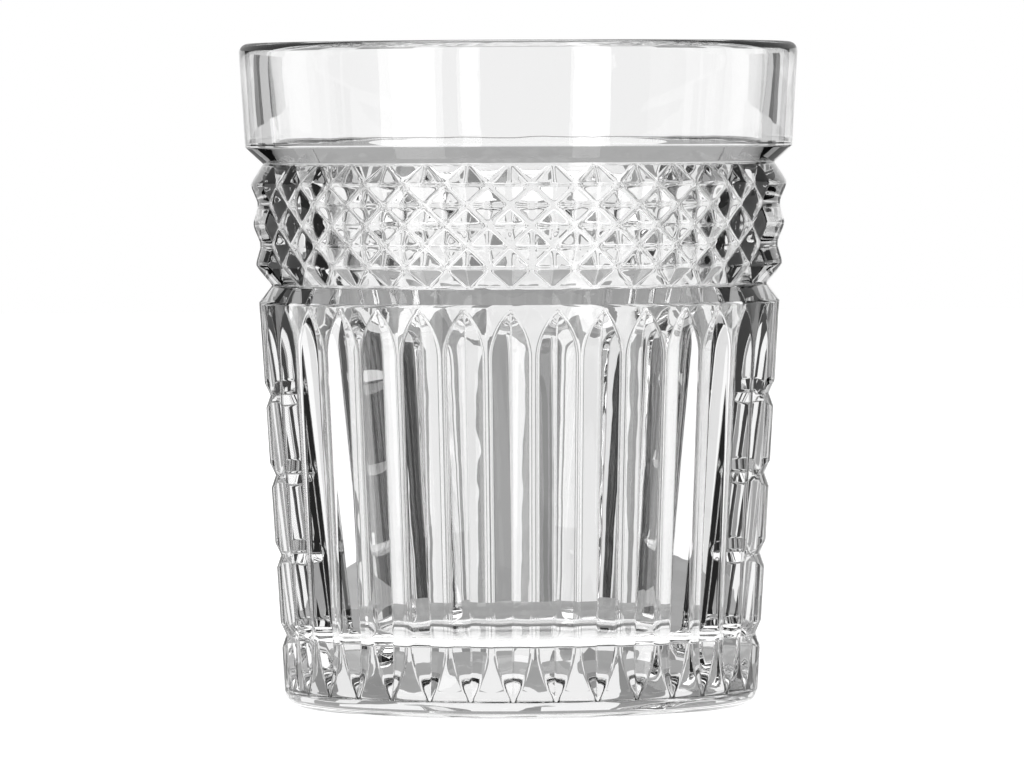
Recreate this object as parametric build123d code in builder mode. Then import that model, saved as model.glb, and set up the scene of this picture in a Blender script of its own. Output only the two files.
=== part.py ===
"""Pressed-glass whiskey tumbler, modelled in millimetres.

The real tumbler is one casting of clear soda-lime glass, pressed in a mould that opens front and back.
It is divided here at its own horizontal edges into four zones that meet face to face:

    heavy_base    foot, solid base and the floor of the bowl
    fluted_wall   upright flutes up to the shoulder
    diamond_band  rows of cut diamonds
    rim_band      plain drinking rim

The origin is the centre of the foot, +Z runs up the bowl's axis, and the mould's two seams lie on +X and -X.
"""

import os
from math import acos, cos, degrees, radians, sin, tan

from build123d import *

# Heights: the zones follow each other down from the mouth, and the floor stands up from the table
height = 102.0
rim_height = 18.5
band_height = 18.7
shoulder_drop = 2.6
floor_height = 10.5

# Outside: the rim's cone, and how far other edges stand in from that cone carried on down
rim_radius = 43.1
side_draft = 3.5
crest_inset = 0.37
top_groove_inset = 2.57
foot_groove_inset = 2.72
shoulder_inset = 0.57
skirt_slope_height = 2.5
rim_outer_fillet = 1.4
rim_inner_fillet = 1.0

# Bowl
rim_wall = 4.1
bowl_draft = 5.6
floor_fillet = 3.0

# Foot
foot_fillet = 2.5
bearing_width = 5.0
hollow_depth = 0.6

# Diamonds: each row is offset by half a diamond from the row above it, they widen a little towards the seams,
# and level ridges fill the gap across each seam
diamond_rows = 5
diamond_columns = 14
diamond_seam_gap = 41.3
diamond_spread = 0.06
diamond_depth = 0.95
seam_ridge_steps = 12

# Flutes: upright V cuts that rise out of the wall in a pointed arch at both ends
flute_columns = 15
flute_seam_gap = 27.75
flute_land = 0.9
flute_depth = 1.3
flute_run_out = 0.2
flute_shoulder_gap = 0.4
flute_foot_gap = 0.1
flute_top_arch = 7.5
flute_foot_arch = 8.6

# Notches: a ladder of level V cuts across each seam, which fade out at the end of the first whole flute
notch_count = 4
first_notch_height = 11.0
notch_shoulder_gap = 14.3
notch_depth = 0.8
notch_half_height = 2.0

half_turn = 180
quarter_turn = 90


band_top_height = height - rim_height
band_foot_height = band_top_height - band_height
shoulder_height = band_foot_height - shoulder_drop


def outside_radius(level, inset):
    """Radius at a height of the rim's cone, carried on down, less an inset."""
    return rim_radius - inset - (height - level) * tan(radians(side_draft))


def wall_radius(level):
    """Radius of the plain cone that the flutes are cut into."""
    return outside_radius(level, shoulder_inset)


def bowl_radius(level):
    """Radius of the bowl's cone."""
    return rim_radius - rim_wall - (height - level) * tan(radians(bowl_draft))


# Plunger: the solid that fills the bowl, with a rounded corner at the floor, and stands out of the mouth
plunger_top = height + rim_outer_fillet

with BuildPart() as plunger:
    with BuildSketch(Plane.XZ):
        with BuildLine():
            Polyline(
                (0, floor_height),
                (bowl_radius(floor_height), floor_height),
                (bowl_radius(plunger_top), plunger_top),
                (0, plunger_top),
                close=True,
            )
        face = make_face()
        fillet(face.vertices().group_by(Axis.Y)[0].sort_by(Axis.X)[-1], floor_fillet)
    revolve(axis=Axis.Z)

# Flute cutter: a V bar along the wall, lifted clear of it at each end by an arc
flute_pitch = (half_turn - flute_seam_gap) / flute_columns
flute_width = radians(flute_pitch) * wall_radius(shoulder_height) - flute_land
flute_slope = flute_width / 2 / flute_depth
flute_top_tip = shoulder_height - flute_shoulder_gap
flute_foot_tip = foot_fillet + flute_foot_gap
draft_angle = radians(side_draft)
flute_length = (flute_top_tip - flute_foot_tip) / cos(draft_angle)
flute_opening = 2 * (flute_depth + flute_run_out)
wall_plane = Plane(
    origin=(wall_radius(flute_foot_tip), 0, flute_foot_tip),
    x_dir=(cos(draft_angle), 0, -sin(draft_angle)),
    z_dir=(0, -1, 0),
)


def lifted_end(start, length, way):
    """Arc that carries the V's bottom out through the wall, towards the top (way 1) or the foot (-1)."""
    radius = (length**2 + flute_depth**2) / (2 * flute_depth)
    turn = acos(1 - (flute_depth + flute_run_out) / radius)
    JernArc((-flute_depth, start), (0, way), radius, -way * degrees(turn))


with BuildPart() as flute_cutter:
    with BuildLine(wall_plane) as flute_line:
        Line((-flute_depth, flute_foot_arch), (-flute_depth, flute_length - flute_top_arch))
        lifted_end(flute_foot_arch, flute_foot_arch, -1)
        lifted_end(flute_length - flute_top_arch, flute_top_arch, 1)
    path = flute_line.wires()[0]
    tangent = path % 0
    with BuildSketch(Plane(origin=path @ 0, x_dir=(0, -tangent.Z, 0), z_dir=tangent)):
        with BuildLine():
            Polyline(
                (0, 0),
                (flute_opening * flute_slope, flute_opening),
                (-flute_opening * flute_slope, flute_opening),
                close=True,
            )
        make_face()
    sweep(path=path)

# Notch cutter: one V cut for each height, turned about an axis beyond the bowl's so that it fades out
notch_half_angle = flute_seam_gap / 2 + flute_pitch
notch_reach = radians(notch_half_angle)
last_notch_height = shoulder_height - notch_shoulder_gap
notch_pitch = (last_notch_height - first_notch_height) / (notch_count - 1)
notch_heights = [first_notch_height + place * notch_pitch for place in range(notch_count)]


def notch_turning_point(level):
    """X of the axis of a V cut that is notch_depth deep at the seam and nothing at its two ends."""
    bottom = wall_radius(level) - notch_depth
    end_x = wall_radius(level) * cos(notch_reach)
    end_y = wall_radius(level) * sin(notch_reach)
    sagitta = bottom - end_x
    return bottom - (end_y**2 + sagitta**2) / (2 * sagitta)


notch_slope = notch_half_height / notch_depth
notch_opening = 2 * notch_depth

with BuildPart() as notch_cutter:
    for level in notch_heights:
        turning_x = notch_turning_point(level)
        bottom_x = wall_radius(level) - notch_depth
        with BuildSketch(Plane.XZ):
            with BuildLine():
                Polyline(
                    (bottom_x, level),
                    (bottom_x + notch_opening, level + notch_opening * notch_slope),
                    (bottom_x + notch_opening, level - notch_opening * notch_slope),
                    close=True,
                )
            make_face()
        revolve(axis=Axis((turning_x, 0, 0), (0, 0, 1)), revolution_arc=notch_half_angle)
    mirror(about=Plane.XZ)


def cut_pattern():
    """Cut the flutes and the notches out of the zone being built, once for each mould half."""
    flutes_wide = (flute_columns - 1) * flute_pitch
    for side in (0, half_turn):
        front = side - quarter_turn
        with PolarLocations(0, flute_columns, start_angle=front - flutes_wide / 2, angular_range=flutes_wide,
                            endpoint=True):
            add(flute_cutter.part, mode=Mode.SUBTRACT)
        with PolarLocations(0, 1, start_angle=side):
            add(notch_cutter.part, mode=Mode.SUBTRACT)


# Heavy base: foot with a bearing ring, solid glass, and the floor with its rounded corner
base_top = floor_height + floor_fillet
foot_radius = wall_radius(0)
hollow_radius = foot_radius - foot_fillet - bearing_width

with BuildPart() as heavy_base:
    with BuildSketch(Plane.XZ):
        with BuildLine():
            Polyline(
                (0, hollow_depth),
                (hollow_radius - hollow_depth, hollow_depth),
                (hollow_radius, 0),
                (foot_radius, 0),
                (wall_radius(base_top), base_top),
                (0, base_top),
                close=True,
            )
        face = make_face()
        fillet(face.vertices().group_by(Axis.Y)[0].sort_by(Axis.X)[-1], foot_fillet)
    revolve(axis=Axis.Z)
    cut_pattern()
    add(plunger.part, mode=Mode.SUBTRACT)
heavy_base.part.label = "heavy_base"

# Fluted wall: flutes and seam notches, closed at the top by the shoulder
foot_groove_radius = outside_radius(band_foot_height, foot_groove_inset)

with BuildPart() as fluted_wall:
    with BuildSketch(Plane.XZ):
        with BuildLine():
            Polyline(
                (0, base_top),
                (wall_radius(base_top), base_top),
                (wall_radius(shoulder_height), shoulder_height),
                (foot_groove_radius, band_foot_height),
                (0, band_foot_height),
                close=True,
            )
        make_face()
    revolve(axis=Axis.Z)
    cut_pattern()
    add(plunger.part, mode=Mode.SUBTRACT)
fluted_wall.part.label = "fluted_wall"

# Diamond band: four-sided pyramids on a lattice, which turn into level ridges across the seams
row_height = (band_top_height - band_foot_height) / (diamond_rows + 1)
last_step = diamond_columns
last_angle = (half_turn - diamond_seam_gap) / 2
seam_step = diamond_seam_gap / seam_ridge_steps
steps_per_side = 2 * last_step + seam_ridge_steps
top_groove_radius = outside_radius(band_top_height, top_groove_inset)


def lattice_angle(step):
    """Angle round the band of a lattice step, counted from the middle of the front."""
    side, place = divmod(step + last_step, steps_per_side)
    share = place / last_step - 1
    if place <= 2 * last_step:
        angle = last_angle * share * (1 + diamond_spread * share**2) / (1 + diamond_spread)
    else:
        angle = last_angle + (place - 2 * last_step) * seam_step
    return radians(side * half_turn + angle - quarter_turn)


def lattice_point(step, row):
    """Corner of the band's facets: row 0 is the top edge, and crests stand on rows of either parity."""
    level = band_top_height - row * row_height
    place = (step + last_step) % steps_per_side
    if row == 0:
        radius = top_groove_radius
    elif row == diamond_rows + 1:
        radius = foot_groove_radius
    else:
        on_seam = place == 0 or place >= 2 * last_step
        crest = row % 2 == 1 if on_seam else (step + row) % 2 == 1
        radius = outside_radius(level, crest_inset if crest else crest_inset + diamond_depth)
    angle = lattice_angle(step)
    return Vector(radius * cos(angle), radius * sin(angle), level)


def lattice_facets(step, row):
    """The two facets of a block between neighbouring steps and rows, which meet along its groove."""
    left_top, right_top = lattice_point(step, row), lattice_point(step + 1, row)
    left_foot, right_foot = lattice_point(step, row + 1), lattice_point(step + 1, row + 1)
    if (step + row) % 2 == 1:
        corners = (left_top, left_foot, right_top), (right_top, left_foot, right_foot)
    else:
        corners = (left_top, left_foot, right_foot), (left_top, right_foot, right_top)
    return [Face(Wire.make_polygon(triangle)) for triangle in corners]


all_steps = range(2 * steps_per_side)
all_rows = range(diamond_rows + 1)
facets = [facet for step in all_steps for row in all_rows for facet in lattice_facets(step, row)]
top_edge = Wire.make_polygon([lattice_point(step, 0) for step in all_steps])
foot_edge = Wire.make_polygon([lattice_point(step, diamond_rows + 1) for step in all_steps])
band_blank = Solid(Shell(facets + [Face(top_edge), Face(foot_edge)]))

with BuildPart() as diamond_band:
    add(band_blank)
    add(plunger.part, mode=Mode.SUBTRACT)
diamond_band.part.label = "diamond_band"

# Rim band: plain drinking rim, fire-polished round at the lip
skirt_height = band_top_height + skirt_slope_height

with BuildPart() as rim_band:
    with BuildSketch(Plane.XZ):
        with BuildLine():
            Polyline(
                (bowl_radius(band_top_height), band_top_height),
                (top_groove_radius, band_top_height),
                (outside_radius(skirt_height, 0), skirt_height),
                (rim_radius, height),
                (bowl_radius(height), height),
                close=True,
            )
        face = make_face()
        lip = face.vertices().group_by(Axis.Y)[-1].sort_by(Axis.X)
        fillet(lip[-1], rim_outer_fillet)
        fillet(lip[0], rim_inner_fillet)
    revolve(axis=Axis.Z)
rim_band.part.label = "rim_band"

os.makedirs("parts", exist_ok=True)
for zone in (heavy_base, fluted_wall, diamond_band, rim_band):
    export_step(zone.part, f"parts/{zone.part.label}.step")
    print(zone.part.label, "volume", round(zone.part.volume), "mm3")
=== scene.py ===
from itertools import pairwise
from math import cos, pi, radians, sin, tan

import bpy
from mathutils import Euler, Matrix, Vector


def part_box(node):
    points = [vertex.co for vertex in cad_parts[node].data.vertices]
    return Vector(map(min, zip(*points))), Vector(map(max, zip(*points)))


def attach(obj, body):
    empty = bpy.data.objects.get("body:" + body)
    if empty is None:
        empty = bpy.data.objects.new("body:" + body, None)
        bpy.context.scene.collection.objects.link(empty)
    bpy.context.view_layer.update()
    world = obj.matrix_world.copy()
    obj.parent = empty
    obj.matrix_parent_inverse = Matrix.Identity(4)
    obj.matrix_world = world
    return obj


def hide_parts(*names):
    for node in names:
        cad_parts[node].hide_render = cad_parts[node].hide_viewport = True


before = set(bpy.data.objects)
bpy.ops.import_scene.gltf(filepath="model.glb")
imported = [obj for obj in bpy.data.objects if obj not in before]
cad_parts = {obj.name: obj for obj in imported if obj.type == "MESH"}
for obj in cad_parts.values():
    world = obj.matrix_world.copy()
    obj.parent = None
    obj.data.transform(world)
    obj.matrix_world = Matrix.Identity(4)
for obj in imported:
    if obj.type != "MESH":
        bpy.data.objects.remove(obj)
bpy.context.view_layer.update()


# Tumbler
# The whole tumbler is one casting of clear soda-lime glass, pressed by a plunger in a mould that opens front
# and back. Its outline runs from the middle of the foot, up the outside, over the lip and down the bowl.
foot_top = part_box("heavy_base")[0].z
band_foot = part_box("diamond_band")[0].z
band_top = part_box("diamond_band")[1].z
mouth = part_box("rim_band")[1].z

rim_radius = 0.0431
side_draft = radians(3.5)
crest_inset = 0.00037
top_groove_inset = 0.00257
foot_groove_inset = 0.00272
shoulder_inset = 0.00057
shoulder = band_foot - 0.0026
skirt = band_top + 0.0025
edge_round = 0.0003

rim_wall = 0.0041
bowl_draft = radians(5.6)
floor = 0.0105
floor_fillet = 0.003
outer_lip = 0.0014
inner_lip = 0.001

foot_fillet = 0.0025
bearing_width = 0.005
hollow_depth = 0.0006
hollow_slope = 0.0016

flute_columns = 15
flute_seam_gap = radians(27.75)
flute_land = 0.0009
flute_depth = 0.0013
flute_edge_round = 0.00035
flute_foot_tip = foot_fillet + 0.0001
flute_top_tip = shoulder - 0.0004
flute_foot_arch = 0.0086
flute_top_arch = 0.0075
flute_start = 0.0003

notch_count = 4
first_notch = 0.011
notch_pitch = (shoulder - 0.0143 - first_notch) / (notch_count - 1)
notch_depth = 0.0008
notch_half_height = 0.002
notch_clear = 0.0023
notch_calm = 0.0042
notch_least_fade = 0.14

diamond_rows = 5
diamond_columns = 14
diamond_seam_gap = radians(41.3)
diamond_spread = 0.06
diamond_depth = 0.00095
diamond_blunt = 0.3

cells = 18
cell_columns = 16
row_lines = 8


def outside(level, inset=0.0):
    """Radius of the rim's cone, carried on down, less an inset."""
    return rim_radius - inset - (mouth - level) * tan(side_draft)


def inside(level):
    """Radius of the bowl's cone."""
    return rim_radius - rim_wall - (mouth - level) * tan(bowl_draft)


def spread(start, stop, count):
    """Evenly spaced values from start to stop, both included."""
    return [start + (stop - start) * place / (count - 1) for place in range(count)]


def arc(centre, radius, start, stop, count):
    """Points of the outline on a round corner, by angle from level outwards."""
    return [(centre[0] + radius * cos(a), centre[1] + radius * sin(a)) for a in spread(start, stop, count)]


def corner_centre(line_radius, level, radius, draft, way):
    """Centre of a round that touches a sloping wall and the level line beyond it (way 1 above, -1 below)."""
    height = level - way * radius
    return line_radius(height) - radius / cos(draft), height


def underside():
    """Shallow hollow with a soft edge, and the ring that the tumbler stands on."""
    ring = outside(foot_top, shoulder_inset) - foot_fillet - bearing_width
    hollow = foot_top + hollow_depth
    rows = [(share * ring, hollow, stride) for share, stride in ((0, 16), (0.3, 16), (0.6, 8))]
    for part in spread(0, 1, 7):
        rise = hollow_depth * (1 - part * part * (3 - 2 * part))
        rows.append((ring - hollow_slope * (0.5 - part), foot_top + rise, 4))
    centre = corner_centre(lambda level: outside(level, shoulder_inset),
                           foot_top, foot_fillet, side_draft, -1)
    rows.append((centre[0] - bearing_width / 2, foot_top, 2))
    rows += [(*point, 1) for point in arc(centre, foot_fillet, -pi / 2, -side_draft, 9)]
    return rows


def wall_levels():
    """Heights of the wall's rows: close together at the arches of the flutes and at the seam notches."""
    levels = spread(flute_foot_tip, first_notch - 0.0029, 12)
    above = (0.0003, 0.0018, notch_half_height, notch_clear)
    steps = [-step for step in reversed(above)] + [0, *above]
    for place in range(notch_count):
        middle = first_notch + place * notch_pitch
        levels += [middle + step for step in steps]
        if place < notch_count - 1:
            levels += [middle + notch_pitch * share for share in (0.33, 0.5, 0.67)]
    levels += spread(levels[-1] + 0.002, flute_top_tip, 17)
    return levels + [shoulder - edge_round]


def fluted_side():
    rows = [(outside(level, shoulder_inset), level, 1) for level in wall_levels()]
    edge, groove = outside(shoulder, shoulder_inset), outside(band_foot, foot_groove_inset)
    rows.append((edge, shoulder, 1))
    for share in (0.1, 0.5, 0.9):
        rows.append((edge + (groove - edge) * share, shoulder + (band_foot - shoulder) * share, 1))
    return rows


def diamond_side():
    """Bottom of the diamonds' grooves, from the lower level groove to the upper one."""
    rows = []
    lines = (diamond_rows + 1) * row_lines
    for line in range(lines + 1):
        level = band_foot + (band_top - band_foot) * line / lines
        inset = crest_inset + diamond_depth
        if line < row_lines:
            inset += (foot_groove_inset - inset) * (1 - line / row_lines)
        if line > lines - row_lines:
            inset += (top_groove_inset - inset) * (1 - (lines - line) / row_lines)
        rows.append((outside(level, inset), level, 1))
    return rows


def rim_side():
    groove, edge = outside(band_top, top_groove_inset), outside(skirt)
    rows = []
    for share in (0.1, 0.5, 0.9):
        rows.append((groove + (edge - groove) * share, band_top + (skirt - band_top) * share, 1))
    rows += [(edge, skirt, 1), (outside(skirt + edge_round), skirt + edge_round, 1)]
    outer = corner_centre(outside, mouth, outer_lip, side_draft, 1)
    inner = (inside(mouth - inner_lip) + inner_lip / cos(bowl_draft), mouth - inner_lip)
    rows += [(outside(level), level, 2) for level in spread(skirt + 0.003, outer[1] - 0.001, 4)]
    rows += [(*point, 2) for point in arc(outer, outer_lip, -side_draft, pi / 2, 9)]
    rows += [(*point, 2) for point in arc(inner, inner_lip, pi / 2, pi - bowl_draft, 9)]
    return rows


def bowl_side():
    centre = (inside(floor + floor_fillet) - floor_fillet / cos(bowl_draft), floor + floor_fillet)
    rows = [(inside(level), level, 2) for level in spread(mouth - 0.004, floor + floor_fillet + 0.001, 12)]
    rows += [(*point, 2) for point in arc(centre, floor_fillet, -bowl_draft, -pi / 2, 10)]
    middle = ((0.8, 4), (0.55, 8), (0.25, 16), (0, 16))
    return rows + [(centre[0] * share, floor, stride) for share, stride in middle]


def make_blank():
    """One mould half as a flat sheet: x counts flutes from the middle, y is plain radius, z is height."""
    outer = underside() + fluted_side() + diamond_side() + rim_side()
    rows = outer + bowl_side()
    columns = cells * cell_columns
    points, faces, starts = [], [], []
    for radius, level, stride in rows:
        starts.append(len(points))
        for column in range(0, columns + 1, stride):
            points.append((column / cell_columns - cells / 2, radius, level))
    row_height = (band_top - band_foot) / (diamond_rows + 1)
    for (first, row), (second, above) in pairwise(zip(starts, rows)):
        lower, upper = row[2], above[2]
        step = max(lower, upper)
        for column in range(0, columns, step):
            a, b = first + column // lower, first + (column + step) // lower
            c, d = second + (column + step) // upper, second + column // upper
            if lower > upper:
                faces += [(a, b, d + 1), (a, d + 1, d), (b, c, d + 1)]
            elif lower < upper:
                faces += [(a, a + 1, d), (a + 1, c, d), (a + 1, b, c)]
            else:
                rows_down = int((band_top - (row[1] + above[1]) / 2) // row_height)
                along = (column * 2 // cell_columns - cells) + rows_down
                faces.append((a, b, c, d) if along % 2 else (b, c, d, a))
    mesh = bpy.data.meshes.new("blank")
    mesh.from_pydata(points, [], faces)
    on_outside = mesh.attributes.new("outside", "FLOAT", "POINT")
    on_outside.data.foreach_set("value", [float(place < starts[len(outer)]) for place in range(len(points))])
    return bpy.data.objects.new("tumbler", mesh)


class Number:
    """A value in a node tree, which ordinary arithmetic joins to others with Math nodes."""

    def __init__(self, tree, socket):
        self.tree, self.socket = tree, socket

    def math(self, operation, *others):
        node = self.tree.nodes.new("ShaderNodeMath")
        node.operation = operation
        for place, value in enumerate((self, *others)):
            if isinstance(value, Number):
                self.tree.links.new(value.socket, node.inputs[place])
            else:
                node.inputs[place].default_value = value
        return Number(self.tree, node.outputs[0])

    def __add__(self, other):
        return self.math("ADD", other)

    def __sub__(self, other):
        return self.math("SUBTRACT", other)

    def __rsub__(self, other):
        return self.math("MULTIPLY_ADD", -1.0, other)

    def __mul__(self, other):
        return self.math("MULTIPLY", other)

    def __truediv__(self, other):
        return self.math("DIVIDE", other)

    def __gt__(self, other):
        return self.math("GREATER_THAN", other)

    def size(self):
        return self.math("ABSOLUTE")

    def least(self, other):
        return self.math("MINIMUM", other)

    def most(self, other):
        return self.math("MAXIMUM", other)

    def towards(self, other, share):
        """This value at share 0, the other one at share 1."""
        return self + (other - self) * share

    def ramp(self, start, stop, kind="LINEAR"):
        """0 up to start, 1 from stop on."""
        node = self.tree.nodes.new("ShaderNodeMapRange")
        node.interpolation_type = kind
        for name, value in (("Value", self), ("From Min", start), ("From Max", stop)):
            if isinstance(value, Number):
                self.tree.links.new(value.socket, node.inputs[name])
            else:
                node.inputs[name].default_value = value
        return Number(self.tree, node.outputs[0])


def make_press(sizes, material):
    """The pressing rule: cuts the pattern into the blank, wraps it round, and joins the two mould halves."""
    tree = bpy.data.node_groups.new("press the pattern", "GeometryNodeTree")
    tree.interface.new_socket("Blank", in_out="INPUT", socket_type="NodeSocketGeometry")
    for name in sizes:
        tree.interface.new_socket(name, in_out="INPUT", socket_type="NodeSocketFloat")
    tree.interface.new_socket("Casting", in_out="OUTPUT", socket_type="NodeSocketGeometry")
    entry = tree.nodes.new("NodeGroupInput")
    size = {name: Number(tree, entry.outputs[name]) for name in sizes}
    place = tree.nodes.new("ShaderNodeSeparateXYZ")
    tree.links.new(tree.nodes.new("GeometryNodeInputPosition").outputs[0], place.inputs[0])
    column, radius, level = (Number(tree, socket) for socket in place.outputs)
    named = tree.nodes.new("GeometryNodeInputNamedAttribute")
    named.data_type = "FLOAT"
    named.inputs["Name"].default_value = "outside"
    on_outside = Number(tree, named.outputs[0])

    # Columns of the sheet to angles round the axis, spaced by flutes up to the shoulder, then by diamonds
    aside = column.size()
    side = column.math("SIGN")
    in_band = level.ramp(shoulder, band_foot).most(1.0 - on_outside)
    share = (aside / (diamond_columns / 2)).least(1.0)
    band_angle = share * (share * share * size["Diamond Spread"] + 1.0) * size["Diamond Last Angle"]
    band_angle += (aside - diamond_columns / 2).most(0.0) * size["Diamond Seam Pitch"]
    seam_angle = (aside - flute_columns / 2) * size["Flute Seam Pitch"]
    seam_angle += size["Flute Pitch"] * (flute_columns / 2)
    in_flutes = 1.0 - (aside > flute_columns / 2)
    plain_angle = seam_angle.towards(aside * size["Flute Pitch"], in_flutes)

    # Notch: a level V cut, deepest at the seam, whose two edges close in on its bottom as it fades out
    reach = size["Flute Seam Pitch"] * ((cells - flute_columns) / 2) + size["Flute Pitch"]
    fade = (1.0 - ((pi / 2 - plain_angle) / reach).math("POWER", 2.0)).most(0.0)
    nearest = ((level - first_notch) / notch_pitch).math("ROUND").most(0.0).least(notch_count - 1.0)
    notch = nearest * notch_pitch + first_notch
    from_notch = (level - notch).size()
    close_by = from_notch.ramp(notch_calm, notch_clear) * on_outside
    pressed_level = level - (level - notch) * (1.0 - fade.most(notch_least_fade)) * close_by
    wall_radius = radius + (pressed_level - level) * tan(side_draft)

    # Flute: a V cut, whose depth and width run out along an arc at both tips. The columns close in with its
    # edges: an eighth of them on the middle, a quarter down the side, half on the rounded edge, the rest beyond
    bend = size["Flute Edge Round"]
    short = 1.0 - pressed_level.ramp(flute_foot_tip, flute_foot_tip + flute_foot_arch)
    short = short.most(1.0 - pressed_level.ramp(flute_top_tip, flute_top_tip - flute_top_arch))
    half_cell = size["Flute Pitch"] * wall_radius / 2.0
    full_width = half_cell - flute_land / 2
    half_width = (1.0 - short * short) * full_width
    middle_depth = half_width * size["Flute Slope"]
    flute = aside.math("ROUND").least(flute_columns // 2)
    from_middle = (aside - flute).size() * 2.0
    edge = half_width.most(bend * 1.5)
    shaped = from_middle.ramp(0.0, 0.125) * bend * 0.5
    shaped += from_middle.ramp(0.125, 0.375) * (edge - bend * 1.5)
    shaped += from_middle.ramp(0.375, 0.875) * bend * 2.0
    shaped += from_middle.ramp(0.875, 1.0) * (half_cell - edge - bend)
    on_wall = level.ramp(flute_foot_tip - flute_start, flute_foot_tip)
    on_wall = on_wall.least(level.ramp(shoulder, flute_top_tip)) * on_outside
    across = (half_cell * from_middle).towards(shaped, on_wall)
    flute_angle = flute * size["Flute Pitch"] + (aside - flute).math("SIGN") * across / wall_radius
    flute_angle = seam_angle.towards(flute_angle, in_flutes)
    flute_cut = middle_depth - across * size["Flute Slope"]
    soft = bend * size["Flute Slope"]
    softened = (flute_cut + soft).most(0.0).least(soft * 2.0)
    flute_cut = flute_cut.most(softened * softened / (soft * 4.0))
    flute_cut = flute_cut * (1.0 - short.math("POWER", 8.0)) * in_flutes
    angle = flute_angle.towards(band_angle, in_band)
    true_fade = (1.0 - ((pi / 2 - angle) / reach).math("POWER", 2.0)).most(0.0)
    notch_cut = true_fade * (1.0 - from_notch / notch_half_height).most(0.0) * size["Notch Depth"]

    # Diamond: a pyramid with a blunt point, on a lattice that shifts half a diamond from row to row
    row = (band_top - level) / ((band_top - band_foot) / (diamond_rows + 1))
    step = (column * 2.0).most(-diamond_columns).least(diamond_columns)
    off_point = ((step + row).math("FLOORED_MODULO", 2.0) - 1.0).size()
    off_other = ((step - row).math("FLOORED_MODULO", 2.0) - 1.0).size()
    off_point = (off_point.math("POWER", 5.0) + off_other.math("POWER", 5.0)).math("POWER", 0.2).least(1.0)
    half_rows = (diamond_rows + 1) / 2
    past_rows = (row - half_rows).size() - (half_rows - 1)
    off_edge_point = 1.0 - (step.math("FLOORED_MODULO", 2.0) - 1.0).size() + past_rows
    off_point = off_point.towards(off_edge_point.least(1.0), past_rows > 0.0)
    blunt = size["Diamond Blunt"]
    rounded = off_point * off_point / (blunt * 2.0) + blunt / 2.0
    off_point = off_point.towards(rounded, 1.0 - (off_point > blunt))
    in_rows = (level > band_foot - 1e-6) * (1.0 - (level > band_top + 1e-6)) * on_outside
    diamond_rise = (1.0 - off_point) * size["Diamond Depth"] * in_rows

    # Wrap the sheet round the axis, and set the second half opposite the first
    pressed_radius = wall_radius + diamond_rise - flute_cut.most(notch_cut) * on_wall
    join = tree.nodes.new("ShaderNodeCombineXYZ")
    coordinates = (pressed_radius * angle.math("SINE") * side, pressed_radius * angle.math("COSINE") * -1.0,
                   pressed_level)
    for number, socket in zip(coordinates, join.inputs):
        tree.links.new(number.socket, socket)
    wrap = tree.nodes.new("GeometryNodeSetPosition")
    tree.links.new(entry.outputs["Blank"], wrap.inputs["Geometry"])
    tree.links.new(join.outputs[0], wrap.inputs["Position"])
    halves = tree.nodes.new("GeometryNodeMeshLine")
    halves.inputs["Count"].default_value = 2
    halves.inputs["Offset"].default_value = (0, 0, 0)
    turn = tree.nodes.new("ShaderNodeCombineXYZ")
    index = Number(tree, tree.nodes.new("GeometryNodeInputIndex").outputs[0])
    tree.links.new((index * pi).socket, turn.inputs["Z"])
    placed = tree.nodes.new("GeometryNodeInstanceOnPoints")
    tree.links.new(halves.outputs["Mesh"], placed.inputs["Points"])
    tree.links.new(wrap.outputs["Geometry"], placed.inputs["Instance"])
    tree.links.new(turn.outputs[0], placed.inputs["Rotation"])
    realize = tree.nodes.new("GeometryNodeRealizeInstances")
    tree.links.new(placed.outputs["Instances"], realize.inputs["Geometry"])
    merge = tree.nodes.new("GeometryNodeMergeByDistance")
    merge.inputs["Distance"].default_value = 2e-6
    tree.links.new(realize.outputs["Geometry"], merge.inputs["Geometry"])
    smooth = tree.nodes.new("GeometryNodeSetShadeSmooth")
    tree.links.new(merge.outputs["Geometry"], smooth.inputs[0])
    finish = tree.nodes.new("GeometryNodeSetMaterial")
    finish.inputs["Material"].default_value = material
    tree.links.new(smooth.outputs[0], finish.inputs["Geometry"])
    exit_node = tree.nodes.new("NodeGroupOutput")
    tree.links.new(finish.outputs["Geometry"], exit_node.inputs["Casting"])
    return tree


def make_glass():
    """Clear pressed glass: bright fire-polished skin with the slight swell that the mould leaves in it."""
    glass = bpy.data.materials.new("clear_glass")
    glass.use_nodes = True
    nodes, links = glass.node_tree.nodes, glass.node_tree.links
    shader = nodes["Principled BSDF"]
    shader.inputs["Base Color"].default_value = (1, 1, 1, 1)
    shader.inputs["Roughness"].default_value = 0.0
    shader.inputs["IOR"].default_value = 1.52
    shader.inputs["Transmission Weight"].default_value = 1.0
    place = nodes.new("ShaderNodeTexCoord")
    swell = nodes.new("ShaderNodeTexNoise")
    swell.inputs["Scale"].default_value = 110
    swell.inputs["Detail"].default_value = 1.5
    links.new(place.outputs["Object"], swell.inputs["Vector"])
    bump = nodes.new("ShaderNodeBump")
    bump.inputs["Strength"].default_value = 0.25
    bump.inputs["Distance"].default_value = 0.00012
    links.new(swell.outputs["Fac"], bump.inputs["Height"])
    links.new(bump.outputs["Normal"], shader.inputs["Normal"])
    return glass


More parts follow.
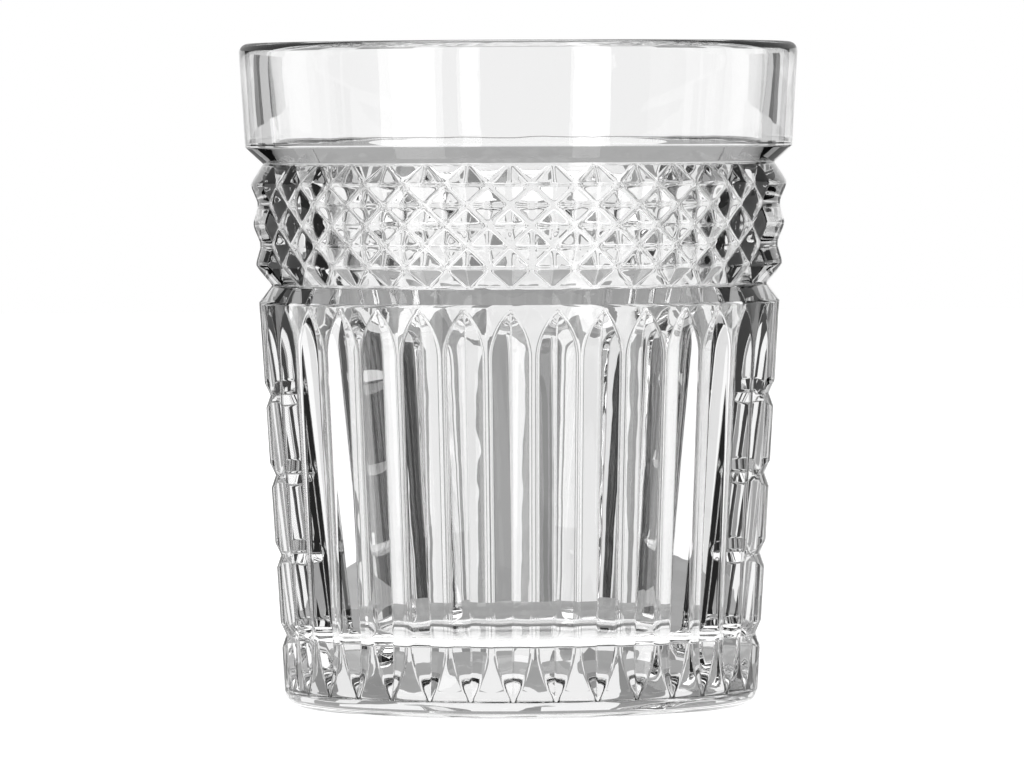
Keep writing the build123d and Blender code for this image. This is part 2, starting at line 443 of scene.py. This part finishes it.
flute_pitch = (pi - flute_seam_gap) / flute_columns
flute_width = flute_pitch * outside(shoulder, shoulder_inset) - flute_land
press_sizes = {
    "Flute Pitch": flute_pitch,
    "Flute Seam Pitch": flute_seam_gap / (cells - flute_columns),
    "Flute Slope": flute_depth / (flute_width / 2),
    "Flute Edge Round": flute_edge_round,
    "Notch Depth": notch_depth,
    "Diamond Last Angle": (pi - diamond_seam_gap) / 2 / (1 + diamond_spread),
    "Diamond Spread": diamond_spread,
    "Diamond Seam Pitch": diamond_seam_gap / (cells - diamond_columns),
    "Diamond Depth": diamond_depth,
    "Diamond Blunt": diamond_blunt,
}
blank = make_blank()
bpy.context.scene.collection.objects.link(blank)
press = blank.modifiers.new("press the pattern", "NODES")
press.node_group = make_press(press_sizes, make_glass())
for item in press.node_group.interface.items_tree:
    if item.in_out == "INPUT" and item.name in press_sizes:
        press[item.identifier] = press_sizes[item.name]

casting = bpy.data.meshes.new_from_object(blank.evaluated_get(bpy.context.evaluated_depsgraph_get()))
blank.modifiers.remove(press)
tumbler = blank
tumbler.data = casting
casting.name = "tumbler"
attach(tumbler, "root")
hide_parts("heavy_base", "fluted_wall", "diamond_band", "rim_band")


# Floor
# A plain white acrylic tabletop, lit from below so that hardly any shadow shows on it.
tabletop_radius = 3.0
bpy.ops.mesh.primitive_circle_add(
    vertices=96, radius=tabletop_radius, fill_type="NGON", location=(0, 0, foot_top))
tabletop = bpy.context.object
tabletop.name = "tabletop"
acrylic = bpy.data.materials.new("white_acrylic")
acrylic.use_nodes = True
acrylic_shader = acrylic.node_tree.nodes["Principled BSDF"]
acrylic_shader.inputs["Base Color"].default_value = (0.3, 0.3, 0.3, 1)
acrylic_shader.inputs["Roughness"].default_value = 0.9
acrylic_shader.inputs["Emission Color"].default_value = (1, 1, 1, 1)
acrylic_shader.inputs["Emission Strength"].default_value = 1.0
tabletop.data.materials.append(acrylic)


# Light
# A white room, and a ring of black, grey and lit cards that stand close round the glass to draw its edges.
ring_radius = 0.13
ring_foot = (ring_radius, foot_top)
ring_dark_top = (ring_radius, 0.058)
ring_split = (ring_radius, 0.077)
ring_rim_top = (ring_radius, 0.108)
ring_top = (ring_radius, 0.3)
card_step = 3


def add_card(name, start, stop, brightness, low_edge, high_edge):
    """A curved card between two edges (radius, height) and two turns in degrees from straight behind."""
    steps = max(2, round(abs(stop - start) / card_step))
    points = []
    for turn in spread(radians(start), radians(stop), steps + 1):
        points += [(radius * sin(turn), radius * cos(turn), level) for radius, level in (low_edge, high_edge)]
    faces = [(2 * place, 2 * place + 1, 2 * place + 3, 2 * place + 2) for place in range(steps)]
    mesh = bpy.data.meshes.new(name)
    mesh.from_pydata(points, [], faces)
    tone = bpy.data.materials.new(name)
    tone.use_nodes = True
    shader = tone.node_tree.nodes["Principled BSDF"]
    shader.inputs["Base Color"].default_value = (0, 0, 0, 1)
    shader.inputs["Roughness"].default_value = 1.0
    shader.inputs["Emission Color"].default_value = (1, 1, 1, 1)
    shader.inputs["Emission Strength"].default_value = brightness
    mesh.materials.append(tone)
    card = bpy.data.objects.new(name, mesh)
    bpy.context.scene.collection.objects.link(card)
    card.visible_camera = False


# Behind the glass the cards stand in mirrored pairs: dark strips low down for the flutes, paler ones above.
# Each has its name, nearer and farther turn from straight behind, brightness, low edge and high edge
card_pairs = (
    ("dark card", 12, 19, 0.25, ring_foot, ring_split),
    ("light card", 19, 25, 0.85, ring_foot, ring_split),
    ("second dark card", 25, 33, 0.22, ring_foot, ring_split),
    ("pale card", 33, 37, 0.8, ring_foot, ring_split),
    ("black card", 37, 60, 0.01, ring_foot, ring_dark_top),
    ("grey strip", 37, 60, 0.7, ring_dark_top, ring_split),
    ("lit card", 60, 69, 1.0, ring_foot, ring_split),
    ("grey card", 69, 76, 0.75, ring_foot, ring_split),
    ("second lit card", 76, 110, 1.1, ring_foot, ring_split),
    ("upper light card", 34, 46, 0.9, ring_split, ring_rim_top),
    ("upper dark card", 46, 54, 0.1, ring_split, ring_rim_top),
    ("upper pale card", 54, 62, 0.6, ring_split, ring_rim_top),
    ("second upper dark card", 62, 74, 0.12, ring_split, ring_rim_top),
    ("upper lit card", 74, 110, 1.1, ring_split, ring_rim_top),
)
for name, near, far, brightness, low_edge, high_edge in card_pairs:
    add_card("left " + name, -far, -near, brightness, low_edge, high_edge)
    add_card("right " + name, near, far, brightness, low_edge, high_edge)
add_card("low back card", -12, 12, 0.9, ring_foot, ring_split)
add_card("upper back card", -34, 34, 0.95, ring_split, ring_rim_top)
add_card("high grey card", -110, 110, 0.4, ring_rim_top, ring_top)
table_card_inside = (0.0385, 0.0015)
table_card_outside = (ring_radius, 0.0015)
add_card("table card", -180, 180, 0.32, table_card_inside, table_card_outside)

# On the front side stand two softboxes among grey cards
add_card("left softbox", -153, -132, 2.4, ring_foot, ring_top)
add_card("right softbox", 146, 157, 2.4, ring_foot, ring_top)
for name, start, stop in (("left", -132, -110), ("middle", -203, -153), ("right", 110, 146)):
    add_card(name + " front card", start, stop, 0.4, ring_foot, ring_top)

world = bpy.data.worlds.new("studio")
world.use_nodes = True
world.node_tree.nodes["Background"].inputs["Color"].default_value = (1, 1, 1, 1)
world.node_tree.nodes["Background"].inputs["Strength"].default_value = 1.0
bpy.context.scene.world = world
bpy.context.scene.view_settings.view_transform = "Standard"


# Camera
# A long lens a little above the lip's height, turned a touch to the right of the tumbler's front.
camera_distance = 1.311
camera_height = 0.087
camera_turn = radians(1.9)
camera_roll = radians(0.28)
aim = Vector((-0.0012, 0, 0.0494))
camera_data = bpy.data.cameras.new("camera")
camera_data.lens = 299
camera = bpy.data.objects.new("camera", camera_data)
camera.location = (camera_distance * sin(camera_turn), -camera_distance * cos(camera_turn), camera_height)
look = (aim - camera.location).to_track_quat("-Z", "Y")
camera.rotation_mode = "QUATERNION"
camera.rotation_quaternion = look @ Euler((0, 0, -camera_roll)).to_quaternion()
camera_data.clip_end = 20
bpy.context.scene.collection.objects.link(camera)
bpy.context.scene.camera = camera
